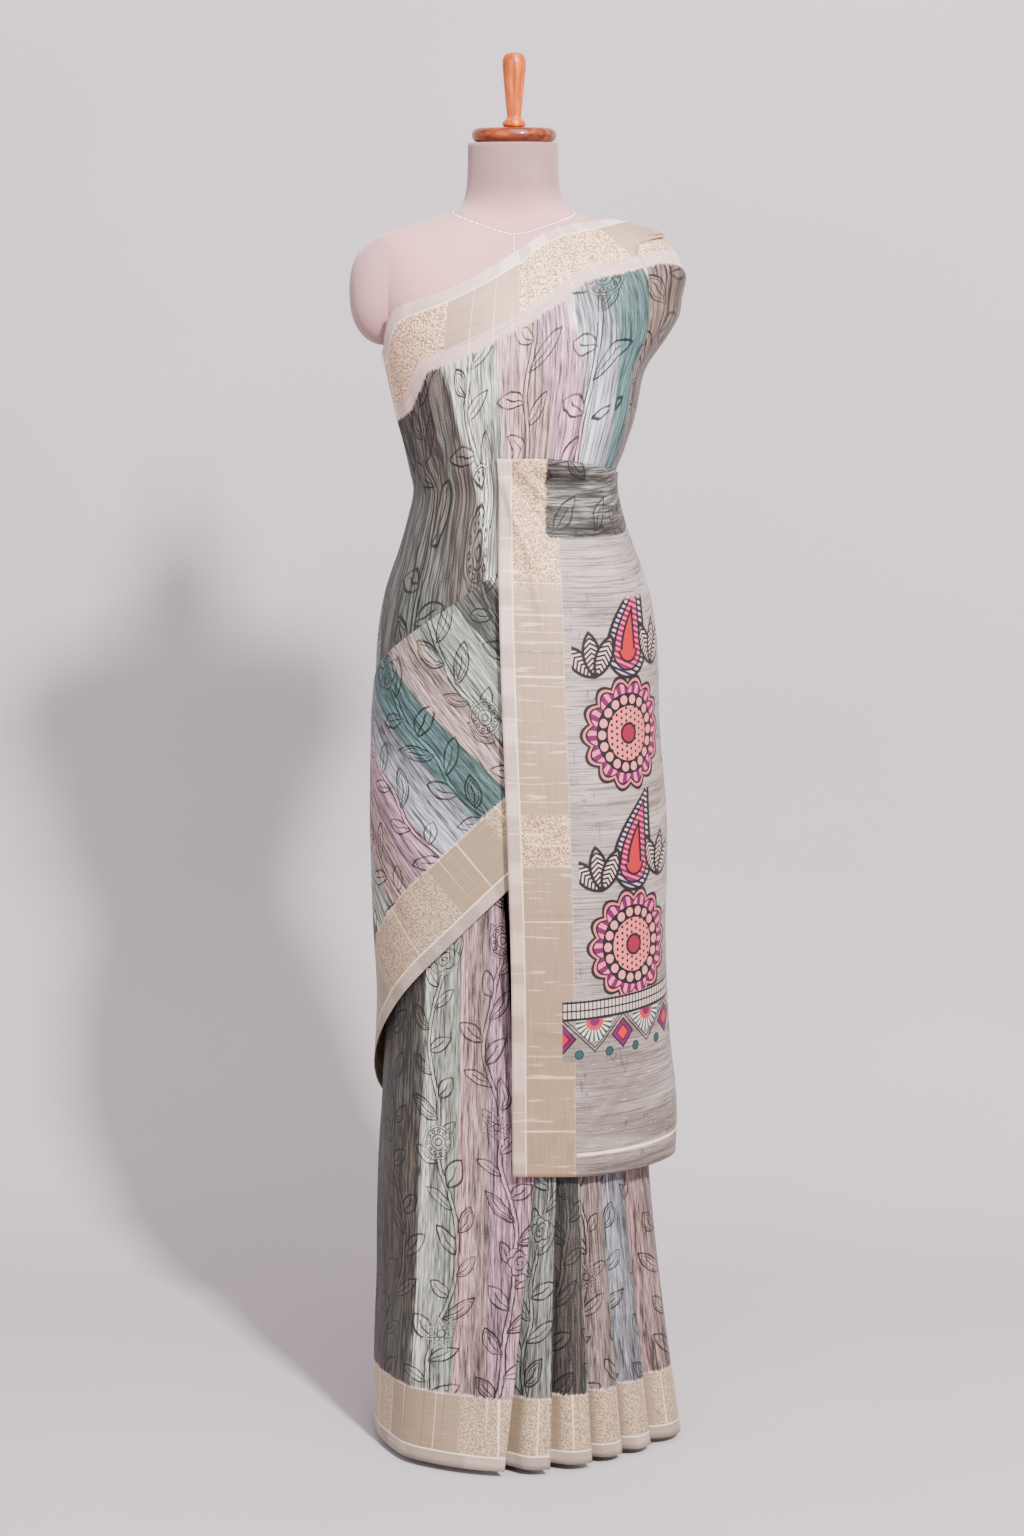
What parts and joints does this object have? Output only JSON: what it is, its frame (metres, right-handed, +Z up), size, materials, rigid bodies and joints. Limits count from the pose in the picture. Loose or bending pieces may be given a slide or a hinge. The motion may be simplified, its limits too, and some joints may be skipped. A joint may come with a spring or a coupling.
{
  "type": "saree draped on a limbless dress form",
  "caption": "Striped silk-blend saree with woven borders and a decorated end, draped over one shoulder and pleated at the front, on a padded limbless dress form.",
  "frame": {"origin": "middle of the flat underside of the stand's foot, on the surface that it stands on", "axes": "+Z up, the front of the garment faces -Y, +X to the right of someone who faces it"},
  "size_m": [0.3769, 0.3376, 1.5725],
  "materials": {
    "saree_body": "slubbed silk blend, striped and printed, gold woven borders",
    "saree_end": "slubbed raw silk look with a gold border and painted motifs",
    "form_cover": "pale pink jersey over padding",
    "neck_wood": "red-brown varnish",
    "knob_wood": "golden varnish",
    "stand_metal": "black powder coat"
  },
  "bodies": {
    "root": {"stand_base": "stand_metal", "stand_pole": "stand_metal", "form_body": "form_cover", "form_arm_cap_left": "form_cover", "form_arm_cap_right": "form_cover", "neck_cap": "neck_wood", "neck_finial": "knob_wood", "skirt_wrap": "saree_body", "front_pleats": "saree_body", "hip_swath": "saree_body", "bodice_swath": "saree_body", "shoulder_fall": "saree_body", "pallu_end": "saree_end"}
  },
  "joints": []
}
